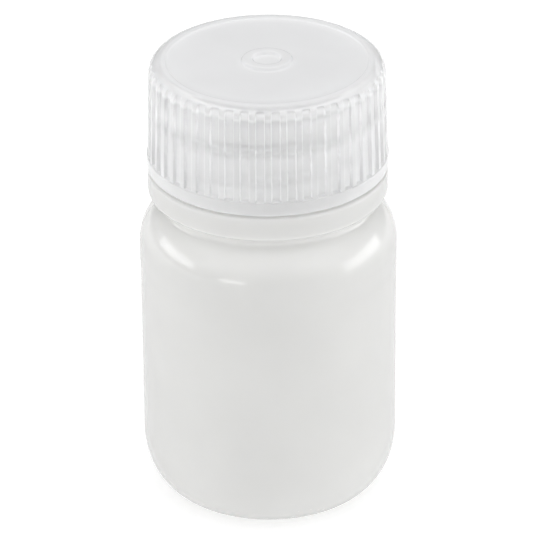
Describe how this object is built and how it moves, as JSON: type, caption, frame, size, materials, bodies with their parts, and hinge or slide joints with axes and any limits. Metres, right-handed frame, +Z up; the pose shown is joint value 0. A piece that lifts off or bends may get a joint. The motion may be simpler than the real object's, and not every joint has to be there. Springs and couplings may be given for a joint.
{
  "type": "reagent bottle",
  "caption": "Squat round wide-mouth reagent bottle with a rounded heel, collared neck and fluted screw closure that plugs the mouth.",
  "frame": {"origin": "middle of the circle that the bottle stands on, at the foot ring's height", "axes": "+Z up along the bottle's axis; the first flute's phase is counted from -Y, which is the front"},
  "size_m": [0.034, 0.034, 0.062],
  "materials": {
    "bottle_plastic": "satin",
    "closure_plastic": "gloss"
  },
  "bodies": {
    "bottle": {"bottle": "bottle_plastic"},
    "plug_seal": {"plug_seal": "closure_plastic"},
    "closure": {"closure": "closure_plastic"}
  },
  "joints": [
    {"name": "closure_rise", "type": "slide", "parent": "bottle", "child": "plug_seal", "axis": [0, 0, 1], "range_m": [0, 0.016]},
    {"name": "closure_turn", "type": "hinge", "parent": "plug_seal", "child": "closure", "pos_m": [0, 0, 0.06049], "axis": [0, 0, 1], "range_deg": [0, 1440]}
  ],
  "couplings": [
    {"joint": "closure_rise", "follows": "closure_turn", "m_per_rad": 0.00063662}
  ]
}
